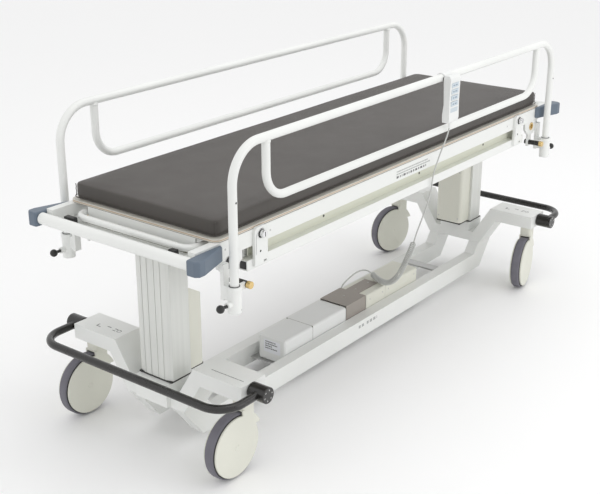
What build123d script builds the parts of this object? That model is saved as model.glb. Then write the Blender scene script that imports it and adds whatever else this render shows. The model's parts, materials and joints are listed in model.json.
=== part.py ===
from build123d import *
from math import tan, radians, pi
import os

# Stretcher trolley. Millimetres, +Z up, floor at z = 0, origin under the middle of the whole
# trolley. +X runs to the head end, -X to the foot end, -Y is the near side.

# ---- driving dimensions ----
NEAR, FAR = -1, 1
FOOT, HEAD = -1, 1

WHEEL_D = 200.0
WHEEL_W = 32.0
CASTOR_Y = 303.0
CASTOR_X = {FOOT: -845.0, HEAD: 912.0}
CASTOR_TRAIL = 55.0
CASTOR_HEADING = {(FOOT, NEAR): 0.0, (FOOT, FAR): 0.0, (HEAD, NEAR): 12.0, (HEAD, FAR): -12.0}

ARM_W = 104.0
ARM_TOP = 293.0
ARM_BOTTOM = 245.0
ARM_END_Y = 342.0
CROSS_TOP = 176.0
CROSS_BOTTOM = 137.0
CROSS_X = {FOOT: -845.0, HEAD: 913.0}
FRAME_WALL = 3.5

RAIL_INNER_Y = 71.0
RAIL_OUTER_Y = 115.0
RAIL_BOTTOM = 28.0
RAIL_TOP = 94.0
RISER_RUN = 84.0

COLUMN_X = {FOOT: -848.0, HEAD: 912.0}
COLUMN_DEPTH = 84.0
COLUMN_WIDTH = 132.0
COLUMN_BASE_Z = 216.0
COLUMN_TOP_Z = 596.0
COLUMN_WALL = 4.0
STAGE_GAP = 1.0

YOKE_Z = 600.0
PIVOT_X = {FOOT: -750.0, HEAD: 778.0}
PIVOT_Z = 698.0
PIVOT_PLATE_X = {FOOT: -750.0, HEAD: 775.0}
PIN_R = 8.0
RUNNING_GAP = 0.08
PIN_SLOT = 15.5

DECK_Y = 290.0
PANEL_BOTTOM = 667.0
PANEL_TOP = 714.0
LEDGE_BOTTOM = 598.0
LEDGE_TOP = 628.0
PANEL_X = {FOOT: -1006.0, HEAD: 1022.0}
END_TUBE_Z = {FOOT: 689.0, HEAD: 698.0}
END_TUBE_R = 17.5
BUMPER_HEIGHT = 43.0
HANDLE_X = -957.0
HANDLE_Y = 224.0
HANDLE_Z = 693.5
HANDLE_R = 10.0
END_PLATE_Z = 672.0
LEDGE_X = {FOOT: -802.0, HEAD: 836.0}

BOARD_T = 8.6
BOARD_X = {FOOT: -921.0, HEAD: 966.0}
BOARD_Y = 288.0
BOARD_SEAM_X = -240.0
MATTRESS_X = {FOOT: -917.0, HEAD: 962.0}
MATTRESS_Y = 283.0
MATTRESS_BOTTOM = PANEL_TOP + BOARD_T + 0.4
MATTRESS_TOP = 779.0

SIDE_Y = 331.0
TUBE_R = 12.5
TUBE_WALL = 2.0
LEG_X = {FOOT: -903.0, HEAD: 949.0}
LEG_BOTTOM = 530.0
SIDE_TOP_Z = 980.0
SIDE_CORNER_R = 105.0
LOOP_X = {FOOT: -765.0, HEAD: 811.0}
LOOP_BOTTOM_Z = 804.0
LOOP_CORNER_R = 80.0

SOCKET_R = 19.0
SOCKET_BORE_R = 12.6
SOCKET_Z = (524.0, 600.0)
LUG_X = {FOOT: -870.0, HEAD: 903.0}
LUG_HOLE_Z = 648.0
PLUNGER_Z = 552.0
PLUNGER_STEM_R = 4.5
PLUNGER_KNOB_R = 11.5
CLAMP_OFFSET_X = 53.0
CLAMP_Z = 587.0

BAR_R = 12.5
BAR_X = {FOOT: -1008.0, HEAD: 1070.0}
BAR_HUB_X = {FOOT: -853.0, HEAD: 920.0}
BAR_Z = 271.0
BAR_END_Y = 374.0
BAR_CORNER_R = 75.0
HUB_R = 24.5
HUB_Y = (344.0, 403.0)

LEAD_D = 5.0
COIL_D = 22.0
CORD_END_GAP = 0.7

HANDSET_X = (118.0, 180.0)
HANDSET_Y = (-373.0, -346.5)
HANDSET_Z = (836.0, 990.0)
BOOT_X = 154.0
BOOT_Y = -355.0
BOOT_LENGTH = 24.0
BUTTON_ROWS = 4

# Lengths are drawn from a point 17.7 mm towards the foot; saving moves the origin to the middle of the length.
ORIGIN_SHIFT_X = -17.7

os.makedirs("parts", exist_ok=True)


# ---- helpers ----
def box(x0, x1, y0, y1, z0, z1):
    size = Box(abs(x1 - x0), abs(y1 - y0), abs(z1 - z0))
    return Pos((x0 + x1) / 2, (y0 + y1) / 2, (z0 + z1) / 2) * size


def cyl_z(x, y, z0, z1, r):
    return Pos(x, y, (z0 + z1) / 2) * Cylinder(r, abs(z1 - z0))


def cyl_y(x, z, y0, y1, r):
    return Pos(x, (y0 + y1) / 2, z) * Rot(90, 0, 0) * Cylinder(r, abs(y1 - y0))


def cyl_x(y, z, x0, x1, r):
    return Pos((x0 + x1) / 2, y, z) * Rot(0, 90, 0) * Cylinder(r, abs(x1 - x0))


def rod_along(path, r):
    """Solid round bar along a wire."""
    start = Plane(origin=path @ 0, z_dir=path % 0)
    return sweep(start * Circle(r), path=path)


def pipe(path, r, wall):
    """Round tube along a wire."""
    start = Plane(origin=path @ 0, z_dir=path % 0)
    return sweep(start * (Circle(r) - Circle(r - wall)), path=path)


def prism_y(points, y0, y1):
    """Extrude an outline given as (x, z) points from y0 to y1."""
    face = make_face(Polyline([(x, min(y0, y1), z) for x, z in points], close=True))
    return extrude(face, amount=abs(y1 - y0), dir=(0, 1, 0))


def prism_x(points, x0, x1):
    """Extrude an outline given as (y, z) points from x0 to x1."""
    face = make_face(Polyline([(min(x0, x1), y, z) for y, z in points], close=True))
    return extrude(face, amount=abs(x1 - x0), dir=(1, 0, 0))


def one(shape):
    """The single solid in a boolean result."""
    solids = shape.solids()
    assert len(solids) == 1, f"expected one solid, got {len(solids)}"
    return solids[0]


def save(name, *shapes):
    solids = []
    for shape in shapes:
        solids.extend(shape.solids())
    whole = solids[0] if len(solids) == 1 else Compound(children=solids)
    whole = Pos(ORIGIN_SHIFT_X, 0, 0) * whole
    whole.label = name
    export_step(whole, f"parts/{name}.step")


# ---- chassis ----
def gull_wing(inset):
    """Outline of a cross-member: high arms at the ends, low in the middle."""
    slope = (185.0 - 118.0) / (ARM_BOTTOM - CROSS_BOTTOM)
    top_mid_y = 160.0 - (ARM_TOP - CROSS_TOP) * slope
    side = [
        (118.0 - inset * 0.6, CROSS_BOTTOM + inset),
        (185.0 - inset * 0.6, ARM_BOTTOM + inset),
        (ARM_END_Y - inset, ARM_BOTTOM + inset),
        (ARM_END_Y - inset, ARM_TOP - inset),
        (160.0 + inset * 0.6, ARM_TOP - inset),
        (top_mid_y + inset * 0.6, CROSS_TOP - inset),
    ]
    return side + [(-y, z) for y, z in reversed(side)]


def cross_member(end):
    x0 = CROSS_X[end] - ARM_W / 2
    x1 = CROSS_X[end] + ARM_W / 2
    body = prism_x(gull_wing(0.0), x0, x1)
    hollow = prism_x(gull_wing(FRAME_WALL), x0 + FRAME_WALL, x1 - FRAME_WALL)
    body = body - hollow
    pedestal_front = 15.0 if end == FOOT else 0.0
    pedestal = box(x0 - pedestal_front, x1, -64.0, 64.0, CROSS_BOTTOM + 4.0, COLUMN_BASE_Z - 3.0)
    inside = box(x0 - pedestal_front + 4.0, x1 - 4.0, -60.0, 60.0, CROSS_BOTTOM + 8.0, COLUMN_BASE_Z - 9.0)
    body = body + pedestal - inside
    seat = box(COLUMN_X[end] - 38.0, COLUMN_X[end] + 38.0, -62.0, 62.0, COLUMN_BASE_Z - 3.0, COLUMN_BASE_Z)
    body = body + seat
    for side in (NEAR, FAR):
        body = body - cyl_z(CASTOR_X[end], side * CASTOR_Y, ARM_BOTTOM - 1.0, ARM_BOTTOM + 6.0, 13.0 + RUNNING_GAP)
        body = body - cyl_y(BAR_HUB_X[end], BAR_Z, side * (ARM_END_Y - 6.0), side * (ARM_END_Y + 1.0), 8.0 + RUNNING_GAP)
    return one(body)


def chassis_rail(side):
    foot_out = CROSS_X[FOOT] - ARM_W / 2
    foot_in = CROSS_X[FOOT] + ARM_W / 2
    head_in = CROSS_X[HEAD] - ARM_W / 2
    head_out = CROSS_X[HEAD] + ARM_W / 2
    run = RISER_RUN * (CROSS_BOTTOM - RAIL_TOP) / (CROSS_BOTTOM - RAIL_BOTTOM)

    def outline(inset):
        return [
            (foot_out + inset * 1.3, CROSS_BOTTOM - inset),
            (foot_out + RISER_RUN + inset * 0.5, RAIL_BOTTOM + inset),
            (head_out - RISER_RUN - inset * 0.5, RAIL_BOTTOM + inset),
            (head_out - inset * 1.3, CROSS_BOTTOM - inset),
            (head_in + inset * 1.3, CROSS_BOTTOM - inset),
            (head_in - run + inset * 0.5, RAIL_TOP - inset),
            (foot_in + run - inset * 0.5, RAIL_TOP - inset),
            (foot_in - inset * 1.3, CROSS_BOTTOM - inset),
        ]

    y0, y1 = side * RAIL_INNER_Y, side * RAIL_OUTER_Y
    outer = prism_y(outline(0.0), y0, y1)
    low, high = min(y0, y1) + 3.0, max(y0, y1) - 3.0
    drain = cyl_z(0.0, (y0 + y1) / 2, RAIL_BOTTOM - 1.0, RAIL_BOTTOM + 5.0, 5.0)
    return one(outer - prism_y(outline(3.0), low, high) - drain)


def chassis_straps():
    """Flat strips and the tray that join the two rails."""
    strip = box(585.0, 627.0, -RAIL_INNER_Y, RAIL_INNER_Y, 88.0, RAIL_TOP)
    tray = box(-372.0, 480.0, -RAIL_INNER_Y, RAIL_INNER_Y, 50.0, 53.0)
    tray = tray - box(-330.0, -240.0, -40.0, 40.0, 49.0, 54.0)
    foot_strip = box(-560.0, -520.0, -RAIL_INNER_Y, RAIL_INNER_Y, 32.0, 36.0)
    return [strip, tray, foot_strip]


def column_outline(depth, width, front, corner_x, corner_y):
    """Column section with cut-back corners on the outboard face; front is -1 or +1 along X."""
    half_d, half_w = depth / 2, width / 2
    points = [
        (-front * half_d, -half_w),
        (front * (half_d - corner_x), -half_w),
        (front * half_d, -half_w + corner_y),
        (front * half_d, half_w - corner_y),
        (front * (half_d - corner_x), half_w),
        (-front * half_d, half_w),
    ]
    return make_face(Polyline([(x, y, 0) for x, y in points], close=True))


def column_outer(end):
    """Fixed lower column: a hollow extrusion with shallow flutes down its outboard face."""
    outer = column_outline(COLUMN_DEPTH, COLUMN_WIDTH, end, 8.0, 24.0)
    inner = Rectangle(COLUMN_DEPTH - 2 * COLUMN_WALL - 8.0, COLUMN_WIDTH - 2 * COLUMN_WALL)
    inner = Pos(-end * 4.0, 0, 0) * inner
    section = outer - inner
    for y in (-38.0, -14.0, 14.0, 38.0):
        section = section - Pos(end * COLUMN_DEPTH / 2, y, 0) * Rectangle(3.2, 3.0)
    body = extrude(section, amount=COLUMN_TOP_Z - COLUMN_BASE_Z)
    return one(Pos(COLUMN_X[end], 0, COLUMN_BASE_Z) * body)


def stage(end, level, z0, z1):
    """Sliding column stage; level 1 runs in the fixed column, level 2 runs in level 1."""
    shrink = 2 * (STAGE_GAP + (level - 1) * (COLUMN_WALL + STAGE_GAP))
    depth = COLUMN_DEPTH - 2 * COLUMN_WALL - 8.0 - shrink
    width = COLUMN_WIDTH - 2 * COLUMN_WALL - shrink
    section = Rectangle(depth, width) - Rectangle(depth - 2 * COLUMN_WALL, width - 2 * COLUMN_WALL)
    body = extrude(section, amount=z1 - z0)
    return one(Pos(COLUMN_X[end] - end * 4.0, 0, z0) * body)


def motor_housing(end):
    """Motor and gearbox casing on the inboard side of the column, with a sloping top."""
    near_x = COLUMN_X[end] - end * COLUMN_DEPTH / 2
    far_x = near_x - end * 68.0
    outline = [(near_x, 222.0), (far_x, 222.0), (far_x, 451.0), (near_x, 491.0)]
    shell = prism_y(outline, -57.0, 57.0)
    upright = shell.edges().filter_by(Axis.Z).sort_by(Axis.X)
    rounded = upright[:2] if far_x < near_x else upright[-2:]
    shell = fillet(rounded, 14.0)
    cavity_x = sorted((near_x - end * 1.0, far_x + end * 4.0))
    cavity = box(cavity_x[0], cavity_x[1], -52.0, 52.0, 226.0, 440.0)
    return one(shell - cavity)


def yoke(end):
    """Crosshead on top of a column: plate, cross tube and two upright ears for the pivot pins."""
    px = PIVOT_X[end]
    cx = COLUMN_X[end] - end * 4.0
    x0, x1 = min(px - 30.0, cx - 33.0), max(px + 30.0, cx + 33.0)
    body = box(x0, x1, -60.0, 60.0, YOKE_Z, YOKE_Z + 12.0)
    tube = box(px - 30.0, px + 30.0, -250.0, 250.0, YOKE_Z + 8.0, YOKE_Z + 48.0)
    core = box(px - 26.0, px + 26.0, -251.0, 251.0, YOKE_Z + 12.0, YOKE_Z + 44.0)
    body = body + (tube - core)
    slot = PIN_SLOT if end == FOOT else 0.0
    hole_r = PIN_R + (1.0 if end == FOOT else RUNNING_GAP)
    ear_r = PIN_R + 5.0
    for side in (NEAR, FAR):
        y0, y1 = side * 248.0, side * 256.0
        ear = box(px - 24.0, px + 24.0 + slot, y0, y1, YOKE_Z + 8.0, PIVOT_Z)
        hole = cyl_y(px, PIVOT_Z, y0 - side, y1 + side, hole_r)
        ear = ear + cyl_y(px, PIVOT_Z, y0, y1, ear_r)
        if slot:
            ear = ear + cyl_y(px + slot, PIVOT_Z, y0, y1, ear_r)
            ear = ear + box(px, px + slot, y0, y1, PIVOT_Z, PIVOT_Z + ear_r)
            hole = hole + cyl_y(px + slot, PIVOT_Z, y0 - side, y1 + side, hole_r)
            hole = hole + box(px, px + slot, y0 - side, y1 + side, PIVOT_Z - hole_r, PIVOT_Z + hole_r)
        body = body + ear - hole
    return one(body)


# ---- control boxes between the chassis rails ----
def control_boxes():
    split = -205.0
    low, high = -68.0, 46.0
    whole = box(-359.0, -11.0, low, high, 53.0, 143.0)
    whole = fillet(whole.edges().filter_by(Axis.X).group_by(Axis.Z)[-1], 9.0)
    cap = whole & box(-360.0, split - 0.6, low - 1, high + 1, 50.0, 150.0)
    cap = chamfer(cap.faces().sort_by(Axis.X)[0].edges(), 5.0)
    cover = whole & box(split, -10.0, low - 1, high + 1, 50.0, 150.0)
    return one(cap), one(cover)


def supply_boxes():
    low, high = -69.0, 44.0
    relay = box(116.0, 240.0, low, high, 53.0, 145.6)
    relay = fillet(relay.edges().filter_by(Axis.X).group_by(Axis.Z)[-1], 6.0)
    gland = cyl_y(GLAND[0], GLAND[2], high - 1.0, GLAND[1], 6.0)
    battery = box(241.5, 463.0, low, high, 53.0, 145.6)
    battery = fillet(battery.edges().filter_by(Axis.X).group_by(Axis.Z)[-1], 6.0)
    battery = fillet(battery.faces().sort_by(Axis.X)[-1].edges().filter_by(Axis.Z), 8.0)
    return one(relay + gland), one(battery)


def cover_bracket():
    """Folded sheet over the power supply, with a tongue along the supply box."""
    sheet = 2.0
    top = box(-9.0, 112.0, -69.0, 46.0, 146.0, 146.0 + sheet)
    tongue = box(110.0, 236.0, -36.0, 21.0, 146.0, 146.0 + sheet)
    near_wall = box(-9.0, 112.0, -69.0, -67.0, 53.0, 147.0)
    far_wall = box(-9.0, 112.0, 44.0, 46.0, 53.0, 147.0)
    body = top + tongue + near_wall + far_wall
    for x in (135.0, 215.0):
        body = body - cyl_z(x, -8.0, 145.0, 149.0, 3.0)
    return one(body)


# ---- castors and brake bars ----
def castor(end, side):
    """Swivelling hood with side covers, and the wheel that turns in it."""
    r = WHEEL_D / 2
    gap = WHEEL_W / 2 + 1.5
    cheek = gap + 5.0
    stem_x = CASTOR_TRAIL
    covers = cyl_y(0, r, -cheek, cheek, r - 8.0)
    column = box(stem_x - 28.0, stem_x + 28.0, -cheek, cheek, r + 20.0, ARM_BOTTOM - 2.0)
    column = fillet(column.edges().filter_by(Axis.Z), 14.0)
    hood = cyl_y(0, r, -cheek, cheek, r + 9.0) & box(stem_x - 28.0, r + 10.0, -cheek, cheek, r + 42.0, 2 * r + 10.0)
    stem = cyl_z(stem_x, 0, ARM_BOTTOM - 4.0, ARM_BOTTOM + 14.0, 13.0)
    well = cyl_y(0, r, -gap, gap, r + 4.0)
    axle = cyl_y(0, r, -cheek, cheek, 6.0)
    housing = one(covers + column + hood + stem - well + axle)
    wheel = cyl_y(0, r, -WHEEL_W / 2, WHEEL_W / 2, 74.7) - cyl_y(0, r, -WHEEL_W, WHEEL_W, 6.0 + RUNNING_GAP)
    tread = cyl_y(0, r, -WHEEL_W / 2, WHEEL_W / 2, r) - cyl_y(0, r, -WHEEL_W, WHEEL_W, 74.7)
    tread = fillet(tread.edges().filter_by(GeomType.CIRCLE).group_by(SortBy.RADIUS)[-1], 7.0)
    place = Pos(CASTOR_X[end], side * CASTOR_Y, 0) * Rot(0, 0, CASTOR_HEADING[(end, side)])
    place = place * Pos(-CASTOR_TRAIL, 0, 0)
    return place * housing, place * one(wheel), place * one(tread)


def brake_bar(end):
    """U-shaped bar across the end of the chassis, with a hub on each side."""
    hx, bx = BAR_HUB_X[end], BAR_X[end]
    entry = hx + end * (HUB_R - 4.0)
    path = FilletPolyline(
        (entry, -BAR_END_Y, BAR_Z), (bx, -BAR_END_Y, BAR_Z), (bx, BAR_END_Y, BAR_Z), (entry, BAR_END_Y, BAR_Z),
        radius=BAR_CORNER_R)
    bar = pipe(path, BAR_R, 2.5)
    hubs = []
    for side in (NEAR, FAR):
        hub = cyl_y(hx, BAR_Z, side * HUB_Y[0], side * HUB_Y[1], HUB_R)
        hub = chamfer(hub.edges().filter_by(GeomType.CIRCLE), 1.5)
        socket = cyl_x(side * BAR_END_Y, BAR_Z, entry, hx + end * (HUB_R + 5.0), BAR_R)
        shaft = cyl_y(hx, BAR_Z, side * (ARM_END_Y - 60.0), side * HUB_Y[0], 8.0)
        hubs.append(one(hub - socket + shaft))
    return [one(bar)] + hubs


# ---- deck ----
def deck_side_rail(side):
    """Tall upper box, a recessed web and a lower ledge tube, with cross holes for the pivot pins."""
    y_in_top, y_out = side * 264.0, side * DECK_Y
    top = box(PANEL_X[FOOT], PANEL_X[HEAD], y_in_top, y_out, PANEL_BOTTOM, PANEL_TOP)
    core = box(PANEL_X[FOOT] + 3, PANEL_X[HEAD] - 3, side * 267.0, side * (DECK_Y - 3), PANEL_BOTTOM + 3, PANEL_TOP - 3)
    ledge = box(LEDGE_X[FOOT], LEDGE_X[HEAD], side * 260.0, y_out, LEDGE_BOTTOM, LEDGE_TOP)
    bore = box(LEDGE_X[FOOT] - 1, LEDGE_X[HEAD] + 1, side * 263.0, side * (DECK_Y - 3), LEDGE_BOTTOM + 3, LEDGE_TOP - 3)
    web = box(LEDGE_X[FOOT] + 30, LEDGE_X[HEAD] - 30, side * 264.0, side * 268.0, LEDGE_TOP - 1, PANEL_BOTTOM + 1)
    body = (top - core) + (ledge - bore) + web
    for end in (FOOT, HEAD):
        body = body - cyl_y(PIVOT_X[end], PIVOT_Z, side * 255.0, side * 295.0, PIN_R + 0.1)
    body = body - cyl_y(120.0, 648.0, side * 255.0, side * 295.0, 3.0)
    return one(body)


def deck_cross_members():
    """Cross tubes between the side rails, and the slotted plate at the foot end."""
    tubes = []
    for x in (-640.0, -300.0, 60.0, 400.0, 640.0):
        tube = box(x - 20, x + 20, -263.5, 263.5, 682.0, 712.0)
        tubes.append(tube - box(x - 17, x + 17, -264.0, 264.0, 685.0, 709.0))
    z0, z1 = END_PLATE_Z, END_PLATE_Z + 3.5
    plate = box(PANEL_X[FOOT] + 2.0, BOARD_X[FOOT] + 6.0, -263.5, 263.5, z0, z1)
    for y0, y1 in ((-182.0, -14.0), (14.0, 182.0)):
        plate = plate - box(-996.0, -976.0, y0, y1, z0 - 1.0, z1 + 1.0)
    plate = plate - box(HANDLE_X + HANDLE_R, HANDLE_X + HANDLE_R + 14.0, -200.0, 200.0, z0 - 1.0, z1 + 1.0)
    beam = box(BOARD_X[FOOT], BOARD_X[FOOT] + 6.0, -211.0, 211.0, z0, PANEL_TOP - 0.1)
    plate = one(plate + beam)
    gussets = []
    for side in (NEAR, FAR):
        corner_x = PANEL_X[FOOT] + 3.0
        outline = [(corner_x, side * 263.5), (corner_x + 80.0, side * 263.5), (corner_x, side * 238.0)]
        face = make_face(Polyline([(x, y, z1 + 0.5) for x, y in outline], close=True))
        gussets.append(extrude(face, amount=4.0, dir=(0, 0, 1)))
    return tubes + [plate] + gussets


def end_tubes():
    """Round tube across each end of the deck, and the bent handle tube inside the foot end."""
    solids = []
    for end in (FOOT, HEAD):
        x, z = PANEL_X[end] + end * (END_TUBE_R + 0.5), END_TUBE_Z[end]
        tube = cyl_y(x, z, -DECK_Y - 0.8, DECK_Y + 0.8, END_TUBE_R)
        solids.append(tube - cyl_y(x, z, -DECK_Y - 3.0, DECK_Y + 3.0, END_TUBE_R - 3.0))
    corners = [(-880.0, -HANDLE_Y), (HANDLE_X, -HANDLE_Y), (HANDLE_X, HANDLE_Y), (-880.0, HANDLE_Y)]
    path = FilletPolyline(*[(x, y, HANDLE_Z) for x, y in corners], radius=38.0)
    solids.append(pipe(path, HANDLE_R, 2.0))
    return solids


def corner_bumper(end, side):
    """Moulded buffer wrapped round a corner of the deck."""
    ex = PANEL_X[end] + end * 41.0
    z0 = END_TUBE_Z[end] - BUMPER_HEIGHT / 2
    inner = DECK_Y + 1.0
    outline = [
        (ex, inner + 2.0), (ex, 322.0), (ex - end * 10.0, 334.0), (ex - end * 30.0, 334.0),
        (ex - end * 130.0, 304.0), (ex - end * 138.0, inner), (ex - end * 42.0, inner),
    ]
    face = make_face(Polyline([(x, side * y, z0) for x, y in outline], close=True))
    outer_corners = face.vertices().sort_by(lambda v: -abs(v.Y))[:5]
    face = fillet(outer_corners, 6.0)
    body = extrude(face, amount=BUMPER_HEIGHT, dir=(0, 0, 1))
    body = fillet(body.faces().sort_by(Axis.Z)[-1].edges(), 5.0)
    body = fillet(body.faces().sort_by(Axis.Z)[0].edges(), 3.0)
    return one(body)


def deck_boards():
    z0, z1 = PANEL_TOP, PANEL_TOP + BOARD_T
    foot = box(BOARD_X[FOOT], BOARD_SEAM_X - 0.5, -BOARD_Y, BOARD_Y, z0, z1)
    head = box(BOARD_SEAM_X + 0.5, BOARD_X[HEAD], -BOARD_Y, BOARD_Y, z0, z1)
    foot = fillet(foot.edges().filter_by(Axis.Z).group_by(Axis.X)[0], 22.0)
    head = fillet(head.edges().filter_by(Axis.Z).group_by(Axis.X)[-1], 22.0)
    return [foot, head]


def mattress():
    pad = box(MATTRESS_X[FOOT], MATTRESS_X[HEAD], -MATTRESS_Y, MATTRESS_Y, MATTRESS_BOTTOM, MATTRESS_TOP)
    return fillet(pad.edges().filter_by(Axis.Z), 26.0)


def pivot_bracket(end, side):
    """Plate outside the side rail that carries the outer end of a pivot pin."""
    px = PIVOT_PLATE_X[end]
    y0, y1 = side * DECK_Y, side * (DECK_Y + 9.0)
    plate = box(px - 28.0, px + 28.0, y0, y1, 606.0, 719.0)
    plate = fillet(plate.edges().filter_by(Axis.Y).group_by(Axis.Z)[-1], 14.0)
    plate = plate - cyl_y(PIVOT_X[end], PIVOT_Z, y0 - side, y1 + side, PIN_R + 0.1)
    plate = plate - cyl_y(px - 4.0, 646.0, y0 - side, y1 + side, 3.0)
    plate = plate - box(px + 10.0, px + 22.0, y0 - side, y1 + side, 610.0, 616.0)
    return one(plate)


def rail_lug(end, side):
    """Rounded plate under the side rail, next to a side-rail leg, with a strap down to the clamp rod."""
    cx = LUG_X[end]
    rod_x = LEG_X[end] - end * CLAMP_OFFSET_X
    y0, y1 = side * 281.0, side * 289.0
    plate = box(cx - 50.0, cx + 50.0, y0, y1, 640.0, PANEL_BOTTOM)
    plate = plate + (cyl_y(cx, 664.0, y0, y1, 50.0) & box(cx - 51, cx + 51, y0, y1, 600.0, 650.0))
    plate = plate + box(rod_x - 13.0, rod_x + 13.0, y0, y1, CLAMP_Z - 14.0, 640.0)
    plate = plate - cyl_y(cx, LUG_HOLE_Z, y0 - side, y1 + side, 15.0)
    plate = plate - cyl_y(rod_x, CLAMP_Z, y0 - side, y1 + side, 9.5)
    return one(plate)


def rail_socket(end, side):
    """Upright tube that a side-rail leg slides in, hung from the lug by a bar, with a plunger boss."""
    lx, ly = LEG_X[end], side * SIDE_Y
    body = cyl_z(lx, ly, SOCKET_Z[0], SOCKET_Z[1], SOCKET_R)
    collar = cyl_z(lx, ly, SOCKET_Z[1] - 12.0, SOCKET_Z[1], SOCKET_R + 1.5)
    bar_x = lx - end * 2.0
    bar = box(bar_x - 11.0, bar_x + 11.0, side * 289.0, side * 301.0, 552.0, 655.0)
    bridge = box(bar_x - 11.0, bar_x + 11.0, side * 299.0, side * 318.0, 556.0, 596.0)
    boss = cyl_x(ly, PLUNGER_Z, lx, lx + end * 33.0, 9.0)
    arm_x = lx - end * CLAMP_OFFSET_X
    arm = box(lx, arm_x, side * 322.0, side * 330.0, CLAMP_Z - 10.0, CLAMP_Z + 8.0)
    body = body + collar + bar + bridge + boss + arm
    body = body - cyl_z(lx, ly, SOCKET_Z[0] - 1.0, SOCKET_Z[1] + 1.0, SOCKET_BORE_R)
    body = body - cyl_x(ly, PLUNGER_Z, lx, lx + end * 34.0, PLUNGER_STEM_R + RUNNING_GAP)
    body = body - cyl_y(arm_x, CLAMP_Z, side * 300.0, side * 335.0, 9.5)
    return one(body)


def clamp_rod(end, side):
    x = LEG_X[end] - end * CLAMP_OFFSET_X
    return cyl_y(x, CLAMP_Z, side * 272.0, side * 332.0, 9.4)


def brass_collar(end, side):
    x = LEG_X[end] - end * CLAMP_OFFSET_X
    ring = cyl_y(x, CLAMP_Z, side * 332.2, side * 346.0, 10.5)
    return chamfer(ring.edges().filter_by(GeomType.CIRCLE), 1.2)


def lug_bush(end, side):
    """Brass bush in the lug plate."""
    cx = LUG_X[end]
    outer = cyl_y(cx, LUG_HOLE_Z, side * 279.0, side * 291.0, 14.9)
    return one(outer - cyl_y(cx, LUG_HOLE_Z, side * 278.0, side * 292.0, 8.0))


def pivot_pin(end, side):
    px = PIVOT_X[end]
    shank = cyl_y(px, PIVOT_Z, side * 247.0, side * 302.0, PIN_R)
    head = cyl_y(px, PIVOT_Z, side * 300.0, side * 314.0, 10.5)
    head = chamfer(head.edges().filter_by(GeomType.CIRCLE), 1.5)
    return one(shank + head)


def plunger(end, side):
    """Pull knob with its stem; the stem stops just short of the leg."""
    stem = cyl_x(0, 0, TUBE_R + 0.6, 52.0, PLUNGER_STEM_R)
    knob = Pos(58.0, 0, 0) * Sphere(PLUNGER_KNOB_R)
    turn = 0 if end == HEAD else 180
    return Pos(LEG_X[end], side * SIDE_Y, PLUNGER_Z) * Rot(0, 0, turn) * one(stem + knob)


# ---- side rails ----
def side_rail(side):
    y = side * SIDE_Y
    outer = FilletPolyline((LEG_X[FOOT], y, LEG_BOTTOM), (LEG_X[FOOT], y, SIDE_TOP_Z), (LEG_X[HEAD], y, SIDE_TOP_Z),
                           (LEG_X[HEAD], y, LEG_BOTTOM), radius=SIDE_CORNER_R)
    inner = FilletPolyline((LOOP_X[FOOT], y, SIDE_TOP_Z - 4.0), (LOOP_X[FOOT], y, LOOP_BOTTOM_Z),
                           (LOOP_X[HEAD], y, LOOP_BOTTOM_Z), (LOOP_X[HEAD], y, SIDE_TOP_Z - 4.0),
                           radius=LOOP_CORNER_R)
    body = rod_along(outer, TUBE_R) + rod_along(inner, TUBE_R - 0.5)
    body = body - rod_along(outer, TUBE_R - TUBE_WALL) - rod_along(inner, TUBE_R - 0.5 - TUBE_WALL)
    return one(body)


# ---- handset ----
def handset():
    """Hand control that hangs on the near side rail by a hook moulded on its back."""
    x0, x1 = HANDSET_X
    y0, y1 = HANDSET_Y
    z0, z1 = HANDSET_Z
    waist = [(y0, z0 + 12), (y0 + 3, z0), (y1 - 1, z0), (y1, z0 + 26), (y1 - 4, z0 + 60), (y1, z1 - 8),
             (y1 - 6, z1), (y0 + 5, z1), (y0, z1 - 10), (y0 + 1.5, z0 + 66)]
    body = prism_x(waist, x0, x1)
    body = fillet(body.edges().filter_by(Axis.Z), 3.0) if body.edges().filter_by(Axis.Z) else body
    hook_x = (x0 + 8.0, x1 - 8.0)
    bore = TUBE_R + 0.3
    hook = cyl_x(-SIDE_Y, SIDE_TOP_Z, hook_x[0], hook_x[1], bore + 3.2)
    hook = hook & box(x0, x1, -SIDE_Y - 20.0, -SIDE_Y + 20.0, SIDE_TOP_Z, SIDE_TOP_Z + 20.0)
    lip = box(hook_x[0], hook_x[1], -SIDE_Y + bore, -SIDE_Y + bore + 3.2, SIDE_TOP_Z - 15.0, SIDE_TOP_Z)
    near_leg = box(hook_x[0], hook_x[1], y1 - 3.0, -SIDE_Y - bore, SIDE_TOP_Z - 24.0, SIDE_TOP_Z)
    body = body + hook + lip + near_leg
    body = body - cyl_x(-SIDE_Y, SIDE_TOP_Z, x0 - 1, x1 + 1, bore)
    boot = Pos(BOOT_X, BOOT_Y, z0 - BOOT_LENGTH / 2 + 1.0) * Cone(3.6, 5.2, BOOT_LENGTH + 2.0)
    body = body + boot
    for row in range(BUTTON_ROWS):
        bx0, bx1, bz0, bz1 = button_window(row)
        body = body - box(bx0 - 0.4, bx1 + 0.4, y0 - 2.0, y0 + 7.0, bz0 - 0.4, bz1 + 0.4)
    return one(body)


def button_window(row):
    x_mid = (HANDSET_X[0] + HANDSET_X[1]) / 2
    top = HANDSET_Z[1] - 24.0 - row * 20.5
    return x_mid - 21.0, x_mid + 21.0, top - 14.5, top


def button(row):
    bx0, bx1, bz0, bz1 = button_window(row)
    y0 = HANDSET_Y[0]
    key = box(bx0, bx1, y0 - 1.2, y0 + 4.0, bz0, bz1)
    return chamfer(key.faces().sort_by(Axis.Y)[0].edges(), 0.8)


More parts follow.
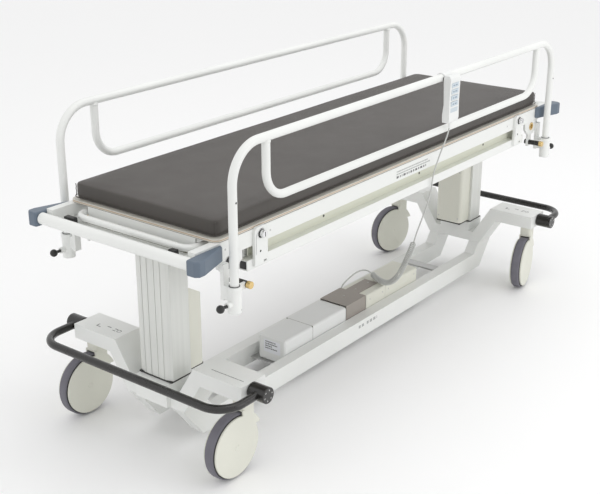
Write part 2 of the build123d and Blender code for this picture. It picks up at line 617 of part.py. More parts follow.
# ---- cord routes ----
GLAND = (152.0, 52.0, 102.0)
TOP_ROUTE = [(154, -355, 811), (153.5, -351, 790), (152, -344.5, 768), (151, -337, 746)]
UPPER_ROUTE = [(151, -337, 746), (150, -329.5, 724), (150, -318, 688), (152, -306.5, 652), (157, -298, 618),
               (162, -293.6, 592)]
LOWER_ROUTE = [(162, -293.6, 592), (166, -286, 560), (175, -269, 512), (186, -249, 468), (198, -229, 424),
               (209, -211, 386), (216, -200, 356)]
COIL_ROUTE = [(216, -200, 356), (219, -190, 328), (219, -177, 296), (217, -164, 262), (214, -151, 229),
              (213, -134, 199), (217, -110, 176), (224, -84, 163), (232, -58, 159.5), (243, -32, 159.5),
              (257, -8, 159.5), (272, 14, 160)]
TAIL_ROUTE = [(272, 14, 160), (280, 33, 163), (272, 52, 165), (252, 62, 163), (228, 66, 158), (204, 69, 151),
              (182, 73, 140), (166, 77, 126), (156, 76, 112), (152, 67, 103.5), (152, 52, 102)]


def corner_radii(points):
    radii = []
    for a, b, c in zip(points, points[1:], points[2:]):
        u = Vector(*b) - Vector(*a)
        v = Vector(*c) - Vector(*b)
        half = radians(u.get_angle(v)) / 2
        radii.append(0.45 * min(u.length, v.length) / tan(half))
    return radii


def shortened(points):
    """Pull both ends in a little, so neighbouring lengths of cord meet without overlapping."""
    first, second = Vector(*points[0]), Vector(*points[1])
    last, before = Vector(*points[-1]), Vector(*points[-2])
    first = first + (second - first).normalized() * CORD_END_GAP
    last = last + (before - last).normalized() * CORD_END_GAP
    return [tuple(first)] + points[1:-1] + [tuple(last)]


def cord(points, diameter, name):
    points = shortened(points)
    radii = corner_radii(points)
    path = FilletPolyline(*points, radius=radii)
    solid = rod_along(path, diameter / 2)
    expected = pi * (diameter / 2) ** 2 * path.length
    print(f"{name}: length {path.length:.1f}, smallest radius {min(radii):.1f}, "
          f"volume ratio {solid.volume / expected:.4f}")
    return solid


# ---- write every node ----
END_NAME = {FOOT: "foot", HEAD: "head"}
SIDE_NAME = {NEAR: "near", FAR: "far"}

for end in (FOOT, HEAD):
    label = END_NAME[end]
    save(f"cross_member_{label}", cross_member(end))
    save(f"column_outer_{label}", column_outer(end))
    save(f"motor_housing_{label}", motor_housing(end))
    save(f"column_yoke_{label}", yoke(end))
    save(f"brake_bar_{label}", *brake_bar(end))
    for side in (NEAR, FAR):
        corner = f"{label}_{SIDE_NAME[side]}"
        hood, wheel, tread = castor(end, side)
        save(f"castor_hood_{corner}", hood)
        save(f"wheel_{corner}", wheel)
        save(f"tyre_{corner}", tread)
        save(f"plunger_{corner}", plunger(end, side))

save("column_stage_head", stage(HEAD, 1, 222.0, YOKE_Z))
save("column_stage_foot_lower", stage(FOOT, 1, 222.0, YOKE_Z - 3.0))
save("column_stage_foot_upper", stage(FOOT, 2, 226.0, YOKE_Z))

for side in (NEAR, FAR):
    label = SIDE_NAME[side]
    save(f"chassis_rail_{label}", chassis_rail(side))
    save(f"deck_side_rail_{label}", deck_side_rail(side))
    save(f"side_rail_{label}", side_rail(side))

cap, cover = control_boxes()
save("control_box_cap", cap)
save("control_box_cover", cover)
save("supply_boxes", *supply_boxes())
save("cover_bracket", cover_bracket())
save("chassis_straps", *chassis_straps())
save("deck_cross_members", *deck_cross_members())
save("deck_end_tubes", *end_tubes())
save("deck_boards", *deck_boards())
save("mattress", mattress())

CORNERS = [(end, side) for end in (FOOT, HEAD) for side in (NEAR, FAR)]
save("corner_bumpers", *[corner_bumper(*c) for c in CORNERS])
save("deck_side_plates", *[pivot_bracket(*c) for c in CORNERS], *[rail_lug(*c) for c in CORNERS])
save("rail_sockets", *[rail_socket(*c) for c in CORNERS])
save("clamp_rods", *[clamp_rod(*c) for c in CORNERS])
save("brass_fittings", *[brass_collar(*c) for c in CORNERS], *[lug_bush(*c) for c in CORNERS])
save("pivot_pins", *[pivot_pin(*c) for c in CORNERS])

save("handset", handset())
for row in range(BUTTON_ROWS):
    save(f"handset_button_{row + 1}", button(row))

save("handset_lead_top", cord(TOP_ROUTE, LEAD_D, "top lead"))
save("handset_lead_upper", cord(UPPER_ROUTE, LEAD_D, "upper lead"))
save("handset_lead_lower", cord(LOWER_ROUTE, LEAD_D, "lower lead"))
save("curly_cord", cord(COIL_ROUTE, COIL_D, "curly cord"))
save("handset_lead_tail", cord(TAIL_ROUTE, LEAD_D, "tail lead"))
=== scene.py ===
import json
import math
import random

import bmesh
import bpy
from mathutils import Matrix, Vector


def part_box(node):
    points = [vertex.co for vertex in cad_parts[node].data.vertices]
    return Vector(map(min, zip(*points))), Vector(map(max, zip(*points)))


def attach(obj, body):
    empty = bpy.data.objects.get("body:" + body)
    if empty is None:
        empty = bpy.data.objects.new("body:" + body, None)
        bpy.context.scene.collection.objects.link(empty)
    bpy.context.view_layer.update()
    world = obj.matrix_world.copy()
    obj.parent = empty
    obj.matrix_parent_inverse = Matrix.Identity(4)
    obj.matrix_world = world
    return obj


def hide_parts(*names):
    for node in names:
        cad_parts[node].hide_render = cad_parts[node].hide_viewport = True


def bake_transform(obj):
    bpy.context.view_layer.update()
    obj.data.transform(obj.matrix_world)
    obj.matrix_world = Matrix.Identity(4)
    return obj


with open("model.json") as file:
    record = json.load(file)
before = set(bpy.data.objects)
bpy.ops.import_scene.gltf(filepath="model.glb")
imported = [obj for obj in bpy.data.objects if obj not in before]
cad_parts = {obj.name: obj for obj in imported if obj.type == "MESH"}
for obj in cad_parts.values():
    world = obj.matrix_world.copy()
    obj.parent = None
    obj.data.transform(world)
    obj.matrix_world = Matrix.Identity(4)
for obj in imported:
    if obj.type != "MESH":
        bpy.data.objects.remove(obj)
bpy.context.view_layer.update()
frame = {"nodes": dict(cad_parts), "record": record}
NODES = frame["nodes"]
CORNERS = [(end, side) for end in ("foot", "head") for side in ("near", "far")]
END = {"foot": -1, "head": 1}
SIDE = {"near": -1, "far": 1}
MM = 0.001

# Places on the trolley, in mm from the drawing point.
PLATE_TOP = 675.5
PANEL_FACE_Y = 290.0
PIVOT_PLATE_FACE_Y = 299.0
PIVOT_PLATE_X = {"foot": -750.0, "head": 775.0}
PIVOT_PIN_X = {"foot": -750.0, "head": 778.0}
PIVOT_Z = 698.0
LUG_X = {"foot": -870.0, "head": 903.0}
LUG_Z = 648.0
RAIL_LEG_X = {"foot": -903.0, "head": 949.0}
RAIL_LEG_Y = 331.0
BRAKE_HUB_X = {"foot": -853.0, "head": 920.0}
BRAKE_HUB_Z = 271.0
COLUMN_X = {"foot": -848.0, "head": 912.0}
ARM_TOP_Z = 293.0
CASTOR_HEADING = {"foot_near": 0.0, "foot_far": 0.0, "head_near": 12.0, "head_far": -12.0}

# Positions below are drawn from the CAD's own drawing point; the frame's origin is 17.7 mm nearer the head.
ORIGIN_SHIFT = Vector((-0.0177, 0.0, 0.0))


def drawn_box(name):
    """Corners of a CAD node, measured from the drawing point."""
    low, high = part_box(name)
    return low - ORIGIN_SHIFT, high - ORIGIN_SHIFT


# ---------------------------------------------------------------- camera, light and floor
CAMERA_AT = (-2.9189, -2.1085, 1.7550)
CAMERA_LOOKS_AT = (-0.0972, 0.0710, 0.3673)
LENS_MM = 65.81


def make_camera():
    data = bpy.data.cameras.new("camera")
    data.lens = LENS_MM
    data.sensor_width = 36.0
    data.clip_end = 100.0
    camera = bpy.data.objects.new("camera", data)
    bpy.context.scene.collection.objects.link(camera)
    camera.location = Vector(CAMERA_AT) + ORIGIN_SHIFT
    aim = Vector(CAMERA_LOOKS_AT) - Vector(CAMERA_AT)
    camera.rotation_euler = aim.to_track_quat("-Z", "Y").to_euler()
    bpy.context.scene.camera = camera


def area_light(name, place, target, size, power, colour=(1.0, 1.0, 1.0)):
    data = bpy.data.lights.new(name, "AREA")
    data.shape = "RECTANGLE"
    data.size, data.size_y = size
    data.energy = power
    data.color = colour
    lamp = bpy.data.objects.new(name, data)
    bpy.context.scene.collection.objects.link(lamp)
    lamp.location = place
    aim = Vector(target) - Vector(place)
    lamp.rotation_euler = aim.to_track_quat("-Z", "Y").to_euler()


def make_studio():
    world = bpy.data.worlds.new("studio")
    bpy.context.scene.world = world
    world.use_nodes = True
    background = world.node_tree.nodes["Background"]
    background.inputs["Color"].default_value = (1.0, 1.0, 1.0, 1.0)
    background.inputs["Strength"].default_value = 0.95
    bpy.context.scene.view_settings.view_transform = "Standard"
    area_light("overhead", (0.3, -0.6, 3.6), (0, 0, 0.5), (3.4, 2.2), 20)
    area_light("near_side", (1.2, -4.2, 1.9), (0.1, 0, 0.5), (2.6, 2.0), 26)
    area_light("foot_fill", (-4.2, 0.8, 1.6), (0, 0, 0.5), (2.0, 1.6), 3)
    bpy.ops.mesh.primitive_plane_add(size=60.0)
    floor = bpy.context.object
    floor.name = "studio_floor"
    floor.data.materials.append(FLOOR)


# ---------------------------------------------------------------- materials
def new_material(name, colour, roughness, metallic=0.0):
    material = bpy.data.materials.new(name)
    material.use_nodes = True
    tree = material.node_tree
    shader = tree.nodes["Principled BSDF"]
    shader.inputs["Base Color"].default_value = (*colour, 1.0)
    shader.inputs["Roughness"].default_value = roughness
    shader.inputs["Metallic"].default_value = metallic
    return material, tree, shader


def node(tree, kind, **settings):
    made = tree.nodes.new(kind)
    for key, value in settings.items():
        if key in made.inputs:
            made.inputs[key].default_value = value
        else:
            setattr(made, key, value)
    return made


def object_coordinates(tree, scale=(1.0, 1.0, 1.0)):
    source = node(tree, "ShaderNodeTexCoord")
    mapping = node(tree, "ShaderNodeMapping", Scale=scale)
    tree.links.new(source.outputs["Object"], mapping.inputs["Vector"])
    return mapping.outputs["Vector"]


def noise(tree, vector, scale, detail=3.0, roughness=0.55):
    made = node(tree, "ShaderNodeTexNoise", Scale=scale, Detail=detail, Roughness=roughness)
    tree.links.new(vector, made.inputs["Vector"])
    return made.outputs["Fac"]


def ramp(tree, value, stops):
    made = node(tree, "ShaderNodeValToRGB")
    elements = made.color_ramp.elements
    while len(elements) < len(stops):
        elements.new(0.5)
    for element, (place, colour) in zip(elements, stops):
        element.position = place
        element.color = (*colour, 1.0)
    tree.links.new(value, made.inputs["Fac"])
    return made.outputs["Color"]


def vary_colour(tree, shader, vector, colour, amount, scale):
    """Soft, large patches a little lighter and darker than the colour, as on worn paint."""
    dark = tuple(c * (1.0 - amount) for c in colour)
    light = tuple(min(1.0, c * (1.0 + amount)) for c in colour)
    shade = ramp(tree, noise(tree, vector, scale), [(0.3, dark), (0.7, light)])
    tree.links.new(shade, shader.inputs["Base Color"])


def vary_roughness(tree, shader, vector, low, high, scale):
    spread = node(tree, "ShaderNodeMapRange")
    spread.inputs["To Min"].default_value = low
    spread.inputs["To Max"].default_value = high
    tree.links.new(noise(tree, vector, scale, 4.0), spread.inputs["Value"])
    tree.links.new(spread.outputs["Result"], shader.inputs["Roughness"])


def add_bump(tree, shader, height, strength, distance, bevel=0.0):
    bump = node(tree, "ShaderNodeBump", Strength=strength, Distance=distance)
    tree.links.new(height, bump.inputs["Height"])
    if bevel > 0.0:
        edge = node(tree, "ShaderNodeBevel", Radius=bevel)
        edge.samples = 4
        tree.links.new(edge.outputs["Normal"], bump.inputs["Normal"])
    tree.links.new(bump.outputs["Normal"], shader.inputs["Normal"])


def surface(name, colour, roughness, metallic=0.0, patch=0.03, grain=900.0, bump=0.06, depth=0.0002,
            bevel=0.0012, coat=0.0):
    """Paint or moulded plastic: slightly patchy colour and gloss, and a fine grain."""
    material, tree, shader = new_material(name, colour, roughness, metallic)
    vector = object_coordinates(tree)
    vary_colour(tree, shader, vector, colour, patch, 4.0)
    vary_roughness(tree, shader, vector, roughness * 0.85, min(1.0, roughness * 1.2), 14.0)
    add_bump(tree, shader, noise(tree, vector, grain, 2.0), bump, depth, bevel)
    shader.inputs["Coat Weight"].default_value = coat
    shader.inputs["Coat Roughness"].default_value = 0.15
    return material


def column_extrusion():
    """Powder-coated aluminium with faint draw lines that run up the column."""
    colour = (0.70, 0.71, 0.68)
    material, tree, shader = new_material("column_extrusion", colour, 0.38)
    lines = object_coordinates(tree, (1.0, 1.0, 0.01))
    vary_colour(tree, shader, lines, colour, 0.05, 60.0)
    add_bump(tree, shader, noise(tree, lines, 420.0, 2.0), 0.12, 0.0003, 0.0016)
    return material


def tyre_rubber():
    """Grey non-marking rubber with a fine grain."""
    colour = (0.145, 0.140, 0.165)
    material, tree, shader = new_material("tyre_rubber", colour, 0.55)
    vector = object_coordinates(tree)
    vary_colour(tree, shader, vector, colour, 0.10, 30.0)
    add_bump(tree, shader, noise(tree, vector, 700.0, 3.0), 0.25, 0.0004, 0.0008)
    return material


def coated_fabric():
    """Wipe-clean polyurethane-coated cover: fine weave under a soft sheen, with faint creases."""
    colour = (0.058, 0.051, 0.045)
    material, tree, shader = new_material("coated_fabric", colour, 0.50)
    vector = object_coordinates(tree)
    vary_colour(tree, shader, vector, colour, 0.10, 3.0)
    vary_roughness(tree, shader, vector, 0.44, 0.60, 9.0)
    weave_x = node(tree, "ShaderNodeTexWave", Scale=260.0, Distortion=0.6)
    weave_x.bands_direction = "X"
    weave_y = node(tree, "ShaderNodeTexWave", Scale=260.0, Distortion=0.6)
    weave_y.bands_direction = "Y"
    for wave in (weave_x, weave_y):
        tree.links.new(vector, wave.inputs["Vector"])
    weave = node(tree, "ShaderNodeMath", operation="ADD")
    tree.links.new(weave_x.outputs["Fac"], weave.inputs[0])
    tree.links.new(weave_y.outputs["Fac"], weave.inputs[1])
    both = node(tree, "ShaderNodeMath", operation="MULTIPLY_ADD")
    both.inputs[1].default_value = 0.25
    tree.links.new(weave.outputs["Value"], both.inputs[0])
    tree.links.new(noise(tree, vector, 7.0, 4.0), both.inputs[2])
    add_bump(tree, shader, both.outputs["Value"], 0.35, 0.0010)
    shader.inputs["Sheen Weight"].default_value = 0.04
    shader.inputs["Sheen Roughness"].default_value = 0.5
    return material


def laminate():
    """Compact board: pale faces over a tan core that shows on the edge, with a painted shadow line along the
    bottom of the edge where the board sits on the rail.
    """
    low, high = drawn_box("deck_boards")
    material, tree, shader = new_material("laminate", (0.6, 0.5, 0.4), 0.45)
    source = node(tree, "ShaderNodeTexCoord")
    split = node(tree, "ShaderNodeSeparateXYZ")
    tree.links.new(source.outputs["Object"], split.inputs["Vector"])
    level = node(tree, "ShaderNodeMapRange")
    level.inputs["From Min"].default_value = low.z
    level.inputs["From Max"].default_value = high.z
    tree.links.new(split.outputs["Z"], level.inputs["Value"])
    face, core, dark = (0.66, 0.64, 0.58), (0.50, 0.36, 0.24), (0.16, 0.13, 0.10)
    # dark: painted shadow line in the gap between the board and the panel below it
    stops = [(0.0, dark), (0.14, dark), (0.16, face), (0.42, face), (0.46, core), (0.72, core), (0.76, face),
             (1.0, face)]
    tree.links.new(ramp(tree, level.outputs["Result"], stops), shader.inputs["Base Color"])
    add_bump(tree, shader, noise(tree, object_coordinates(tree), 300.0), 0.1, 0.0002)
    return material


def enamel_with_painted_recess_shade():
    """White enamel with painted shade: a little greener and darker in the recess between panel and ledge."""
    material, tree, shader = new_material("enamel_with_painted_recess_shade", (0.80, 0.81, 0.79), 0.38)
    source = node(tree, "ShaderNodeTexCoord")
    split = node(tree, "ShaderNodeSeparateXYZ")
    tree.links.new(source.outputs["Object"], split.inputs["Vector"])
    level = node(tree, "ShaderNodeMapRange")
    level.inputs["From Min"].default_value = 0.60
    level.inputs["From Max"].default_value = 0.70
    tree.links.new(split.outputs["Z"], level.inputs["Value"])
    # painted shade: the darker, greener recess colour stands for the shade under the overhanging panel
    white, recess = (0.80, 0.81, 0.79), (0.66, 0.67, 0.57)
    stops = [(0.0, white), (0.275, white), (0.285, recess), (0.66, recess), (0.67, white), (1.0, white)]
    tree.links.new(ramp(tree, level.outputs["Result"], stops), shader.inputs["Base Color"])
    add_bump(tree, shader, noise(tree, object_coordinates(tree), 900.0), 0.06, 0.0002, 0.0012)
    return material


def metal(name, colour, roughness, lines=(1.0, 1.0, 1.0)):
    material, tree, shader = new_material(name, colour, roughness, 1.0)
    vector = object_coordinates(tree, lines)
    vary_roughness(tree, shader, vector, roughness * 0.7, roughness * 1.4, 120.0)
    add_bump(tree, shader, noise(tree, vector, 800.0, 2.0), 0.05, 0.0001, 0.0005)
    return material


FLOOR = surface("studio_floor", (0.94, 0.94, 0.94), 0.6, patch=0.0, bevel=0.0, bump=0.02)
WHITE = surface("white_enamel", (0.80, 0.81, 0.79), 0.36, coat=0.15)
CREAM = surface("cream_plastic", (0.72, 0.72, 0.64), 0.46, grain=600.0, bump=0.10)
WHITE_PLASTIC = surface("white_plastic", (0.78, 0.79, 0.78), 0.46, grain=700.0, bump=0.08)
BLACK = surface("black_enamel", (0.012, 0.011, 0.010), 0.27, patch=0.10, bump=0.05, coat=0.3)
BLACK_PLASTIC = surface("black_plastic", (0.015, 0.015, 0.015), 0.35, patch=0.10)
# painted shade: near black that stands for the shade in gaps, holes and slots
DARK = surface("painted_dark_shade", (0.03, 0.03, 0.028), 0.7, patch=0.10)
# painted shade: dark olive that stands for the shade in the end plate's slots and in the seam between the
# boxes
DARK_OLIVE = surface("painted_olive_shade", (0.17, 0.17, 0.13), 0.6, patch=0.08)
GREY_SHEET = surface("grey_sheet", (0.34, 0.31, 0.28), 0.55, patch=0.05, grain=500.0, bump=0.10)
WHEEL_CORE = surface("wheel_core", (0.60, 0.60, 0.54), 0.45)
BUMPER = surface("blue_grey_bumper", (0.120, 0.155, 0.200), 0.40, patch=0.06, grain=500.0, bump=0.12,
                 bevel=0.002)
KEY_PANEL = surface("key_panel", (0.55, 0.61, 0.65), 0.40, patch=0.02, bevel=0.0)
KEY_FACE = surface("key_face", (0.56, 0.63, 0.68), 0.38, patch=0.02, bevel=0.0006)
KEY_MARK = surface("key_mark", (0.24, 0.31, 0.38), 0.45, bevel=0.0)
LEAD = surface("lead_jacket", (0.55, 0.56, 0.54), 0.42, bevel=0.0)
PRINT = surface("grey_print", (0.16, 0.16, 0.16), 0.6, bevel=0.0)
FAINT_PRINT = surface("faint_print", (0.42, 0.43, 0.42), 0.6, bevel=0.0)
LABEL = surface("paper_label", (0.80, 0.81, 0.85), 0.5, bevel=0.0)
STEEL = metal("satin_steel", (0.60, 0.60, 0.60), 0.35)
ZINC = metal("zinc_screw", (0.58, 0.58, 0.57), 0.30)
CHROME = metal("chrome", (0.78, 0.78, 0.79), 0.10)
BRASS = metal("brass", (0.75, 0.55, 0.25), 0.24)
COLUMN = column_extrusion()
TYRE = tyre_rubber()
FABRIC = coated_fabric()
LAMINATE = laminate()
RECESS_SHADE_ENAMEL = enamel_with_painted_recess_shade()

SLOT_MATERIALS = {
    "white_enamel": WHITE, "steel": STEEL, "chrome_pin": CHROME, "brass": BRASS, "black_enamel": BLACK,
    "cream_plastic": CREAM, "white_plastic": WHITE_PLASTIC, "grey_sheet": GREY_SHEET,
    "wheel_core": WHEEL_CORE, "grey_tyre": TYRE, "blue_grey_bumper": BUMPER, "laminate": LAMINATE,
    "mattress_cover": FABRIC, "black_plastic": BLACK_PLASTIC, "key_face": KEY_FACE, "lead_jacket": LEAD,
}


def paint_cad_nodes():
    slots = {part["node"]: part["material_slot"] for part in frame["record"]["subparts"]}
    for name, piece in NODES.items():
        material = SLOT_MATERIALS[slots[name]]
        if name.startswith("column_outer"):
            material = COLUMN
        # the side rails take the enamel with painted shade in the recess
        if name.startswith("deck_side_rail"):
            material = RECESS_SHADE_ENAMEL
        piece.data.materials.clear()
        piece.data.materials.append(material)


# ---------------------------------------------------------------- mesh helpers
def finish_piece(name, mesh, material, body, smooth=True):
    mesh.transform(Matrix.Translation(ORIGIN_SHIFT))
    mesh.materials.append(material)
    if smooth:
        for polygon in mesh.polygons:
            polygon.use_smooth = True
        mesh.set_sharp_from_angle(angle=math.radians(38))
    piece = bpy.data.objects.new(name, mesh)
    bpy.context.scene.collection.objects.link(piece)
    if body:
        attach(piece, body)
    return piece


def from_bmesh(name, bm, material, body, smooth=True):
    bmesh.ops.recalc_face_normals(bm, faces=bm.faces)
    mesh = bpy.data.meshes.new(name)
    bm.to_mesh(mesh)
    bm.free()
    return finish_piece(name, mesh, material, body, smooth)


def add_block(bm, low, high, rounding=0.0, segments=2):
    """Box between two corners in mm, with rounded edges."""
    size = [(b - a) * MM for a, b in zip(low, high)]
    centre = [(a + b) / 2 * MM for a, b in zip(low, high)]
    part = bmesh.new()
    bmesh.ops.create_cube(part, size=1.0, matrix=Matrix.Translation(centre) @ Matrix.Diagonal((*size, 1.0)))
    if rounding > 0.0:
        bmesh.ops.bevel(part, geom=part.edges[:], offset=rounding * MM, segments=segments, profile=0.5,
                        affect="EDGES")
    merge(bm, part)


def merge(bm, part):
    temp = bpy.data.meshes.new("temp")
    part.to_mesh(temp)
    part.free()
    bm.from_mesh(temp)
    bpy.data.meshes.remove(temp)


def block(name, low, high, material, body, rounding=0.6):
    bm = bmesh.new()
    add_block(bm, low, high, rounding)
    return from_bmesh(name, bm, material, body)


def add_lathe(bm, origin, direction, profile, steps=32):
    """Turn a profile of (along, radius) pairs in mm about a line through origin."""
    axis = Vector(direction).normalized()
    side = axis.orthogonal().normalized()
    other = axis.cross(side)
    start = Vector(origin) * MM
    rings = []
    for along, radius in profile:
        centre = start + axis * along * MM
        if radius <= 0.0:
            rings.append([bm.verts.new(centre)])
            continue
        ring = []
        for k in range(steps):
            angle = 2 * math.pi * k / steps
            spoke = side * math.cos(angle) + other * math.sin(angle)
            ring.append(bm.verts.new(centre + spoke * radius * MM))
        rings.append(ring)
    for a, b in zip(rings, rings[1:]):
        for k in range(steps):
            k2 = (k + 1) % steps
            if len(a) == 1:
                bm.faces.new((a[0], b[k], b[k2]))
            elif len(b) == 1:
                bm.faces.new((a[k], b[0], a[k2]))
            else:
                bm.faces.new((a[k], b[k], b[k2], a[k2]))


def lathe(name, origin, direction, profile, material, body, steps=32):
    bm = bmesh.new()
    add_lathe(bm, origin, direction, profile, steps)
    return from_bmesh(name, bm, material, body)


def screw_profile(radius, proud):
    """Domed button head with a recess in the middle."""
    return [(-0.4, radius), (proud * 0.4, radius), (proud, radius * 0.72), (proud, radius * 0.42),
            (proud * 0.35, radius * 0.36), (proud * 0.35, 0.0)]


def screws(name, places, direction, radius, material, body, proud=1.2):
    bm = bmesh.new()
    for place in places:
        add_lathe(bm, place, direction, screw_profile(radius, proud), 20)
    return from_bmesh(name, bm, material, body)


def print_marks(name, corner, along, up, rows, height, seed, material, body, gap=1.6):
    """Generic printed lines: rows of short bars that stand for small print, 0.2 mm proud of a surface."""
    picker = random.Random(seed)
    along, up = Vector(along).normalized(), Vector(up).normalized()
    out = along.cross(up)
    bm = bmesh.new()
    for row, width in enumerate(rows):
        base = Vector(corner) + up * row * height * -1.9
        done = 0.0
        while done < width:
            step = min(picker.uniform(2.0, 7.0) * height / 4.0, width - done)
            a = base + along * done
            ring = [a, a + along * step, a + along * step + up * height, a + up * height]
            bottom = [bm.verts.new(p * MM) for p in ring]
            top = [bm.verts.new((p + out * 0.2) * MM) for p in ring]
            bm.faces.new(top)
            for k in range(4):
                bm.faces.new((bottom[k], bottom[(k + 1) % 4], top[(k + 1) % 4], top[k]))
            done += step + gap * height / 4.0
    return from_bmesh(name, bm, material, body, smooth=False)


# ---------------------------------------------------------------- cords
# The routes repeat part.py's, in metres.
TOP_ROUTE = [(0.154, -0.355, 0.811), (0.1535, -0.351, 0.790), (0.152, -0.3445, 0.768),
             (0.151, -0.337, 0.746)]
UPPER_ROUTE = [(0.151, -0.337, 0.746), (0.150, -0.3295, 0.724), (0.150, -0.318, 0.688),
               (0.152, -0.3065, 0.652), (0.157, -0.298, 0.618), (0.162, -0.2936, 0.592)]
LOWER_ROUTE = [(0.162, -0.2936, 0.592), (0.166, -0.286, 0.560), (0.175, -0.269, 0.512),
               (0.186, -0.249, 0.468), (0.198, -0.229, 0.424), (0.209, -0.211, 0.386),
               (0.216, -0.200, 0.356)]
COIL_ROUTE = [(0.216, -0.200, 0.356), (0.219, -0.190, 0.328), (0.219, -0.177, 0.296),
              (0.217, -0.164, 0.262), (0.214, -0.151, 0.229), (0.213, -0.134, 0.199),
              (0.217, -0.110, 0.176), (0.224, -0.084, 0.163), (0.232, -0.058, 0.1595),
              (0.243, -0.032, 0.1595), (0.257, -0.008, 0.1595), (0.272, 0.014, 0.160)]
TAIL_ROUTE = [(0.272, 0.014, 0.160), (0.280, 0.033, 0.163), (0.272, 0.052, 0.165), (0.252, 0.062, 0.163),
              (0.228, 0.066, 0.158), (0.204, 0.069, 0.151), (0.182, 0.073, 0.140), (0.166, 0.077, 0.126),
              (0.156, 0.076, 0.112), (0.152, 0.067, 0.1035), (0.152, 0.052, 0.102)]
LEAD_R = 0.0025
COIL_R = 0.011
COIL_WIRE_R = 0.0022
COIL_PITCH = 0.0076
COIL_SIDES = 8
COIL_STEPS = 22
COIL_LEAD_IN = 0.012


def centreline(points):
    """Points along the smooth NURBS line through a route."""
    curve = bpy.data.curves.new("line", "CURVE")
    curve.dimensions = "3D"
    curve.resolution_u = 12
    spline = curve.splines.new("NURBS")
    spline.points.add(len(points) - 1)
    for point, place in zip(spline.points, points):
        point.co = (*place, 1.0)
    spline.order_u = 3
    spline.use_endpoint_u = True
    holder = bpy.data.objects.new("line", curve)
    bpy.context.scene.collection.objects.link(holder)
    bpy.context.view_layer.update()
    mesh = bpy.data.meshes.new_from_object(holder)
    line = [v.co.copy() for v in mesh.vertices]
    bpy.data.objects.remove(holder)
    bpy.data.curves.remove(curve)
    bpy.data.meshes.remove(mesh)
    return line


def line_length(line):
    return sum((b - a).length for a, b in zip(line, line[1:]))


def frames_along(line):
    """Position, direction and two steady cross directions at each point of a line."""
    result = []
    side = None
    for k, place in enumerate(line):
        ahead = line[min(k + 1, len(line) - 1)] - line[max(k - 1, 0)]
        tangent = ahead.normalized()
        if side is None:
            side = tangent.orthogonal().normalized()
        side = (side - tangent * side.dot(tangent)).normalized()
        result.append((place, tangent, side, tangent.cross(side)))
    return result


def tube_mesh(name, line, radius, sides):
    bm = bmesh.new()
    rings = []
    for place, _, side, other in frames_along(line):
        ring = []
        for k in range(sides):
            angle = 2 * math.pi * k / sides
            spoke = side * math.cos(angle) + other * math.sin(angle)
            ring.append(bm.verts.new(place + spoke * radius))
        rings.append(ring)
    for a, b in zip(rings, rings[1:]):
        for k in range(sides):
            bm.faces.new((a[k], a[(k + 1) % sides], b[(k + 1) % sides], b[k]))
    bm.faces.new(list(reversed(rings[0])))
    bm.faces.new(rings[-1])
    bmesh.ops.recalc_face_normals(bm, faces=bm.faces)
    mesh = bpy.data.meshes.new(name)
    bm.to_mesh(mesh)
    bm.free()
    return mesh


def resample(line, step):
    """Evenly spaced points along a line."""
    total = line_length(line)
    count = max(2, round(total / step))
    wanted = [total * k / count for k in range(count + 1)]
    result, walked, k = [], 0.0, 0
    for target in wanted:
        while k < len(line) - 2 and walked + (line[k + 1] - line[k]).length < target:
            walked += (line[k + 1] - line[k]).length
            k += 1
        span = (line[k + 1] - line[k]).length
        result.append(line[k].lerp(line[k + 1], min(1.0, (target - walked) / span)))
    return result


def helix_along(line):
    """Coil of the lead round a line, closing in to the line at both ends."""
    total = line_length(line)
    turns = round(total / COIL_PITCH)
    fine = resample(line, COIL_PITCH / COIL_STEPS)
    centre_r = COIL_R - COIL_WIRE_R
    points = []
    for k, (place, _, side, other) in enumerate(frames_along(fine)):
        share = k / (len(fine) - 1)
        near_end = min(share, 1.0 - share) * total / COIL_LEAD_IN
        grown = min(1.0, near_end)
        radius = centre_r * grown * grown * (3 - 2 * grown)
        angle = 2 * math.pi * turns * share
        points.append(place + (side * math.cos(angle) + other * math.sin(angle)) * radius)
    return points


def straight_lead(name, route, cad_node, bodies):
    line = centreline(route)
    piece = finish_piece(name, tube_mesh(name, line, LEAD_R, 14), LEAD, None)
    print(name, "length", round(line_length(line), 4))
    if len(bodies) == 2:
        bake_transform(piece)
    else:
        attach(piece, bodies[0])
    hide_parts(cad_node)
    return piece


def make_cords():
    straight_lead("lead_top", TOP_ROUTE, "handset_lead_top", ("handset", "near_rail"))
    straight_lead("lead_upper", UPPER_ROUTE, "handset_lead_upper", ("near_rail", "deck"))
    straight_lead("lead_lower", LOWER_ROUTE, "handset_lead_lower", ("deck", "head_lift"))
    straight_lead("lead_tail", TAIL_ROUTE, "handset_lead_tail", ("chassis",))
    line = helix_along(centreline(COIL_ROUTE))
    mesh = tube_mesh("curly_lead", line, COIL_WIRE_R, COIL_SIDES)
    coil = finish_piece("curly_lead", mesh, LEAD, None)
    print("curly lead wire length", round(line_length(line), 4), "points", len(line))
    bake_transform(coil)
    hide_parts("curly_cord")


